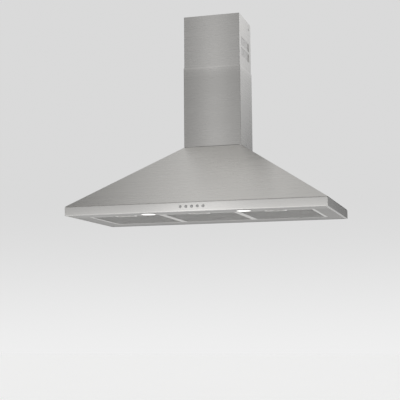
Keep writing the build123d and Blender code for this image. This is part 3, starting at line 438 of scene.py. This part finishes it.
def turned_chrome(name, centre, flat, colour):
    """Satin chrome with rings about an axis through the centre; flat is 0 on the axis's direction."""
    chrome = Finish(name, colour, metallic=1.0, roughness=CHROME_ROUGHNESS)
    shift = tuple(-place * keep for place, keep in zip(centre, flat))
    length = chrome.node("ShaderNodeVectorMath", operation="LENGTH")
    chrome.join(chrome.place(flat, location=shift), length.inputs[0])
    rings = chrome.node("ShaderNodeTexNoise", Scale=2400.0, Detail=2.0)
    chrome.join(length.outputs["Value"], rings.inputs["Vector"])
    chrome.tint(chrome.spread(rings.outputs["Fac"], 0.92, 1.05))
    chrome.roughen(chrome.spread(rings.outputs["Fac"], CHROME_ROUGHNESS - 0.05, CHROME_ROUGHNESS + 0.06))
    chrome.bump(rings.outputs["Fac"], 0.00001)
    return chrome


def middle(name):
    low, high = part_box(name)
    return (low + high) / 2


for number in range(1, BUTTON_COUNT + 1):
    name = f"button_{number}"
    dress(turned_chrome(f"chrome_{name}", middle(name), (1, 0, 1), BUTTON_CHROME), name)
for side in ("left", "right"):
    name = f"lamp_bezel_{side}"
    dress(turned_chrome(f"chrome_{name}", middle(name), (1, 1, 0), LAMP_RING_CHROME), name)

# %% [markdown]
# ## Lit lamp glass
# The lamps are on in the photograph, and their frosted discs are nearly white. The glass gives its own
# light, a little less towards its edge, so the disc keeps its shape and doesn't become a flat spot.


# %% Lamp lenses
def lit_glass(name, centre, radius):
    glass = Finish(name, (0.95, 0.95, 0.93), roughness=0.35)
    length = glass.node("ShaderNodeVectorMath", operation="LENGTH")
    glass.join(glass.place((1, 1, 0), location=(-centre.x, -centre.y, 0)), length.inputs[0])
    glow = glass.node("ShaderNodeValToRGB")
    glow.color_ramp.elements[0].color = (1.0, 0.995, 0.97, 1.0)
    glow.color_ramp.elements[1].color = (0.66, 0.655, 0.63, 1.0)
    glow.color_ramp.elements[1].position = 1.0
    soft = glow.color_ramp.elements.new(0.72)
    soft.color = (0.97, 0.965, 0.94, 1.0)
    glass.join(glass.math("DIVIDE", length.outputs["Value"], radius), glow.inputs["Fac"])
    glass.join(glow.outputs["Color"], glass.shader.inputs["Emission Color"])
    glass.set("Emission Strength", 1.0)
    frost = glass.noise((1500.0, 1500.0, 1500.0), detail=2.0)
    glass.tint(glass.spread(frost, 0.97, 1.0))
    glass.bump(frost, 0.00003)
    return glass


for side in ("left", "right"):
    lens = f"lamp_lens_{side}"
    low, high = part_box(lens)
    dress(lit_glass(f"lit_{lens}", middle(lens), (high.x - low.x) / 2), lens)

# %% [markdown]
# ## Expanded mesh of the grease filters
# A filter is a pack of expanded aluminium: sheet that is slit and pulled open into rows of diamonds. One
# could draw it as a picture with holes, but it is seen from close below, so real strands are better. A
# grid is turned by 45 degrees and squashed into diamonds, cut to the frame's window, each diamond is inset,
# and the middles are deleted. What stays is a lace of flat strands, which then gets a thickness. A second,
# coarser lace lies above it, and a closed sheet in painted shade, darker for the shaded inner layers, closes
# the pack.

# %% Mesh material
strand = Finish("filter_strand", (0.52, 0.515, 0.505), metallic=1.0, roughness=0.42)
oily = strand.noise((60.0, 60.0, 60.0), detail=4.0)
strand.tint(strand.spread(oily, 0.90, 1.05))
strand.roughen(strand.spread(oily, 0.34, 0.52))
strand.bump(strand.noise((900.0, 900.0, 900.0)), 0.00004)

# Painted shade: the closed sheet behind the laces is dark for the shaded inner layers; its cells are their
# own pattern.
shaded_inner_layers = Finish("shaded_inner_mesh_layers", (0.29, 0.287, 0.281), metallic=0.7, roughness=0.6)
weave = shaded_inner_layers.node("ShaderNodeTexVoronoi", Scale=1.0)
shaded_inner_layers.join(shaded_inner_layers.place((150.0, 260.0, 1.0)), weave.inputs["Vector"])
shaded_inner_layers.tint(shaded_inner_layers.spread(weave.outputs["Distance"], 0.55, 1.25, 0.0, 0.8))
shaded_inner_layers.bump(weave.outputs["Distance"], 0.0004)


# %% Diamond lace
LACE_MARGIN = 1.05          # so that the turned grid is sure to cover the window's corners


def diamond_lace(bm, low, high, level, cell, strand_width, thickness):
    """Adds one flat lace of diamonds between two corners, at one height."""
    width, depth = high.x - low.x, high.y - low.y
    reach = LACE_MARGIN * max(width / cell[0], depth / cell[1])
    count = 2 * math.ceil(reach) + 2
    made = bmesh.ops.create_grid(bm, x_segments=count, y_segments=count, size=count / 2)
    verts = made["verts"]
    bmesh.ops.rotate(bm, verts=verts, cent=(0, 0, 0), matrix=Matrix.Rotation(math.pi / 4, 3, "Z"))
    root = math.sqrt(2)
    bmesh.ops.scale(bm, verts=verts, vec=(cell[0] / root, cell[1] / root, 1.0))
    centre = (low + high) / 2
    bmesh.ops.translate(bm, verts=verts, vec=(centre.x, centre.y, level))
    for corner, outwards in ((low, (-1, 0, 0)), (high, (1, 0, 0)), (low, (0, -1, 0)), (high, (0, 1, 0))):
        everything = bm.verts[:] + bm.edges[:] + bm.faces[:]
        point = (corner.x, corner.y, level)
        bmesh.ops.bisect_plane(bm, geom=everything, plane_co=point, plane_no=outwards, clear_outer=True)
    faces = bm.faces[:]
    bmesh.ops.inset_individual(bm, faces=faces, thickness=strand_width / 2)
    bmesh.ops.delete(bm, geom=faces, context="FACES_ONLY")
    bmesh.ops.solidify(bm, geom=bm.faces[:], thickness=thickness)


def new_piece(name, bm, *finishes):
    """Turns a bmesh into an object at the origin."""
    mesh = bpy.data.meshes.new(name)
    bm.to_mesh(mesh)
    bm.free()
    for finish in finishes:
        mesh.materials.append(finish.material)
    piece = bpy.data.objects.new(name, mesh)
    bpy.context.scene.collection.objects.link(piece)
    return piece


# %% Cutting the pack round its grip plate
GRIP_GAP = 0.0008
GRIP_TAPER = 0.010          # the plate is this much narrower at each end of its back edge


def over_grip(point, low, high):
    """Whether a point lies over the grip plate, whose ends slant inwards."""
    share = min(max((point.y - low.y) / (high.y - low.y), 0.0), 1.0)
    inset = GRIP_TAPER * share - GRIP_GAP
    return low.x + inset < point.x < high.x - inset and point.y < high.y + GRIP_GAP


def cut_round_grip(bm, low, high):
    doomed = [face for face in bm.faces if over_grip(face.calc_center_median(), low, high)]
    bmesh.ops.delete(bm, geom=doomed, context="FACES")


# %% Backing sheet
SHEET_THICKNESS = 0.0028
SHEET_RISE = 0.0042         # of the flat face above the pack's underside


def backing_sheet(low, high, grip_low, grip_high):
    """The closed layer behind the laces: one flat face, cut by planes, opened over the grip, thickened."""
    bm = bmesh.new()
    bmesh.ops.create_grid(bm, x_segments=1, y_segments=1, size=0.5)
    bmesh.ops.scale(bm, verts=bm.verts[:], vec=(high.x - low.x, high.y - low.y, 1.0))
    centre_x, centre_y = (low.x + high.x) / 2, (low.y + high.y) / 2
    bmesh.ops.translate(bm, verts=bm.verts[:], vec=(centre_x, centre_y, low.z + SHEET_RISE))
    depth = grip_high.y - grip_low.y
    cuts = [((0, grip_high.y + GRIP_GAP, 0), (0, 1, 0))]
    for edge, sign in ((grip_low.x, -1), (grip_high.x, 1)):
        cuts.append(((edge + sign * GRIP_GAP, grip_low.y, 0), (sign * depth, GRIP_TAPER, 0)))
    for point, normal in cuts:
        everything = bm.verts[:] + bm.edges[:] + bm.faces[:]
        bmesh.ops.bisect_plane(bm, geom=everything, plane_co=point, plane_no=normal)
    cut_round_grip(bm, grip_low, grip_high)
    bmesh.ops.recalc_face_normals(bm, faces=bm.faces[:])
    bmesh.ops.solidify(bm, geom=bm.faces[:], thickness=SHEET_THICKNESS)
    return bm


# %% Filter packs
# Each lace: its rise above the pack's underside, its diamonds' width and depth, its strands' width
LACES = [(0.0001, (0.012, 0.0062), 0.0011), (0.0016, (0.016, 0.0084), 0.0014)]
STRAND_THICKNESS = 0.0004


def add_to(pack, other, material_index):
    """Joins a second bmesh to the pack and gives its faces their material."""
    before = len(pack.faces)
    scratch = bpy.data.meshes.new("scratch")
    other.to_mesh(scratch)
    other.free()
    pack.from_mesh(scratch)
    bpy.data.meshes.remove(scratch)
    pack.faces.ensure_lookup_table()
    for face in pack.faces[before:]:
        face.material_index = material_index


def filter_pack(name):
    low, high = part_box(f"filter_mesh_{name}")
    grip_low, grip_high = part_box(f"filter_grip_{name}")
    pack = bmesh.new()
    for rise, cell, width in LACES:
        lace = bmesh.new()
        diamond_lace(lace, low, high, low.z + rise, cell, width, STRAND_THICKNESS)
        cut_round_grip(lace, grip_low, grip_high)
        add_to(pack, lace, 0)
    add_to(pack, backing_sheet(low, high, grip_low, grip_high), 1)
    piece = new_piece(f"mesh_pack_{name}", pack, strand, shaded_inner_layers)
    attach(piece, f"{name}_filter")
    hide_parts(f"filter_mesh_{name}")
    return piece


for name in ("left", "centre", "right"):
    made = filter_pack(name)
    print(made.name, len(made.data.polygons), "faces")

# %% [markdown]
# ## A pale floor
# The hood hangs in a pale room, and a plain floor lies 1.5 metres below its rim. The floor gives a little
# light of its own, but only to the camera, to mirrors and through glass.

# %% Floor
FLOOR_LIFT = 0.36           # strength of the floor's own light
FLOOR_REACH = 30.0
FLOOR_LEVEL = -1.5
grid = bmesh.new()
bmesh.ops.create_grid(grid, x_segments=4, y_segments=4, size=FLOOR_REACH)
bmesh.ops.translate(grid, verts=grid.verts[:], vec=(0, 0, FLOOR_LEVEL))
floor_finish = Finish("pale_floor", (0.80, 0.80, 0.795), roughness=0.9)
plaster = floor_finish.noise((1.2, 1.2, 1.2), detail=6.0)
floor_finish.tint(floor_finish.spread(plaster, 0.99, 1.01))
floor_finish.set("Emission Color", (1.0, 1.0, 1.0, 1.0))
floor_paths = floor_finish.node("ShaderNodeLightPath")
direct = floor_paths.outputs["Is Camera Ray"]
shown = floor_finish.math("MAXIMUM", direct, floor_paths.outputs["Is Glossy Ray"])
shown = floor_finish.math("MAXIMUM", shown, floor_paths.outputs["Is Transmission Ray"])
lift = floor_finish.math("MULTIPLY", shown, FLOOR_LIFT)
floor_finish.join(lift, floor_finish.shader.inputs["Emission Strength"])
floor = new_piece("floor", grid, floor_finish)
floor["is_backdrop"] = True

# %% [markdown]
# ## The room that the steel mirrors
# Steel shows what is round it, so the room matters more than the lights. The world is a few brightness
# ramps on the direction of a ray. One runs sideways at the level of the hood and is brightest a quarter
# of the way to the left, as in a room with its window on that side. A second one does the same for the
# ceiling, where only a patch on that side is bright. Two more run upwards: in front of the hood the
# horizon is bright, the room above it dim and the ceiling bright again, and behind the hood, where the
# wall would be, the horizon is dim and all above it bright. The camera itself sees a pale grey that is
# a little lighter downwards, and surfaces that don't mirror the room get one even level.

# %% World
PLAIN_LIGHT = 0.62          # level of the room for surfaces that don't mirror it
BACKDROP, LOW_BACKDROP = 0.70, 0.87
world = bpy.data.worlds.new("studio")
bpy.context.scene.world = world
world.use_nodes = True
sky = world.node_tree
sky.nodes.clear()


def sky_node(kind, **values):
    made = sky.nodes.new(kind)
    for key, value in values.items():
        setattr(made, key, value)
    return made


def sky_ramp(source, stops):
    """A value that follows one direction, whose places run from -1 to 1."""
    ranged = sky_node("ShaderNodeMapRange")
    ranged.inputs["From Min"].default_value = -1.0
    sky.links.new(source, ranged.inputs["Value"])
    ramp = sky_node("ShaderNodeValToRGB")
    ramp.color_ramp.interpolation = "EASE"
    first, last = stops[0], stops[-1]
    ramp.color_ramp.elements[0].color = (first[1],) * 3 + (1.0,)
    ramp.color_ramp.elements[1].color = (last[1],) * 3 + (1.0,)
    for place, level in stops[1:-1]:
        ramp.color_ramp.elements.new((place + 1) / 2).color = (level,) * 3 + (1.0,)
    sky.links.new(ranged.outputs["Result"], ramp.inputs["Fac"])
    return ramp.outputs["Color"]


def sky_mix(blend, factor, first, second):
    mixed = sky_node("ShaderNodeMix", data_type="RGBA", blend_type=blend)
    for socket, value in (("Factor", factor), ("A", first), ("B", second)):
        if isinstance(value, (int, float)):
            mixed.inputs[socket].default_value = value if socket == "Factor" else (value,) * 3 + (1.0,)
        else:
            sky.links.new(value, mixed.inputs[socket])
    return mixed.outputs["Result"]


direction = sky_node("ShaderNodeSeparateXYZ")
sky.links.new(sky_node("ShaderNodeTexCoord").outputs["Generated"], direction.inputs["Vector"])
level_stops = [
    (-1, 0.40), (-0.48, 0.58), (-0.40, 0.74), (-0.32, 0.94), (-0.26, 1.06), (-0.20, 1.04), (-0.14, 1.0),
    (0.1, 0.70), (0.215, 0.70), (0.255, 1.0), (0.4, 1.0), (1, 0.65),
]
ceiling_stops = [
    (-1, 0.25), (-0.44, 0.26), (-0.37, 0.32), (-0.32, 0.62), (-0.27, 0.82), (-0.22, 0.76), (-0.18, 0.42),
    (1, 0.36),
]
climbing = sky_ramp(direction.outputs["Z"], [(-1, 0.0), (0.45, 0.0), (0.75, 1.0), (1, 1.0)])
level, ceiling = (sky_ramp(direction.outputs["X"], stops) for stops in (level_stops, ceiling_stops))
sideways = sky_mix("MIX", climbing, level, ceiling)
before = sky_ramp(direction.outputs["Z"], [
    (-1, 0.75), (-0.05, 1.12), (0.09, 1.20), (0.20, 0.31), (0.5, 0.33), (0.8, 1.10), (1, 1.20),
])
behind = sky_ramp(direction.outputs["Z"], [
    (-1, 0.70), (-0.10, 0.42), (0.02, 0.36), (0.10, 0.34), (0.15, 0.46), (0.20, 0.80), (0.25, 1.28),
    (0.4, 1.14), (0.6, 0.90), (1, 0.92),
])
turned = sky_ramp(direction.outputs["Y"], [(-1, 0.0), (-0.4, 0.0), (0.4, 1.0), (1, 1.0)])
room = sky_mix("MULTIPLY", 1.0, sideways, sky_mix("MIX", turned, before, behind))
paths = sky_node("ShaderNodeLightPath")
mirrored = sky_node("ShaderNodeMath", operation="MAXIMUM")
sky.links.new(paths.outputs["Is Glossy Ray"], mirrored.inputs[0])
sky.links.new(paths.outputs["Is Transmission Ray"], mirrored.inputs[1])
lighting = sky_mix("MIX", mirrored.outputs["Value"], PLAIN_LIGHT, room)
backdrop_stops = [(-1, LOW_BACKDROP), (-0.05, LOW_BACKDROP), (0.12, BACKDROP), (1, BACKDROP)]
backdrop = sky_ramp(direction.outputs["Z"], backdrop_stops)
seen = sky_mix("MIX", paths.outputs["Is Camera Ray"], lighting, backdrop)
background = sky_node("ShaderNodeBackground")
sky.links.new(seen, background.inputs["Color"])
sky.links.new(background.outputs["Background"], sky_node("ShaderNodeOutputWorld").inputs["Surface"])
print("world nodes", len(sky.nodes))

# %% [markdown]
# ## Two soft lights
# A tall narrow light stands before the hood, to its left, and a broad one hangs above it.


# %% Soft lights
def soft_light(name, place, aim, size, power):
    lamp = bpy.data.lights.new(name, "AREA")
    lamp.shape = "RECTANGLE"
    lamp.size, lamp.size_y = size
    lamp.energy = power
    light = bpy.data.objects.new(name, lamp)
    bpy.context.scene.collection.objects.link(light)
    light.location = place
    light.rotation_euler = (Vector(aim) - Vector(place)).to_track_quat("-Z", "Y").to_euler()


soft_light("tall_front_light", (-1.0, -4.0, 1.0), (0.0, -0.2, 0.3), (0.36, 2.4), 1.45)
soft_light("overhead_light", (-0.5, -0.6, 3.4), (0.0, -0.3, 0.15), (2.0, 2.4), 7.0)

# %% The bounds of the hood
low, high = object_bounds()
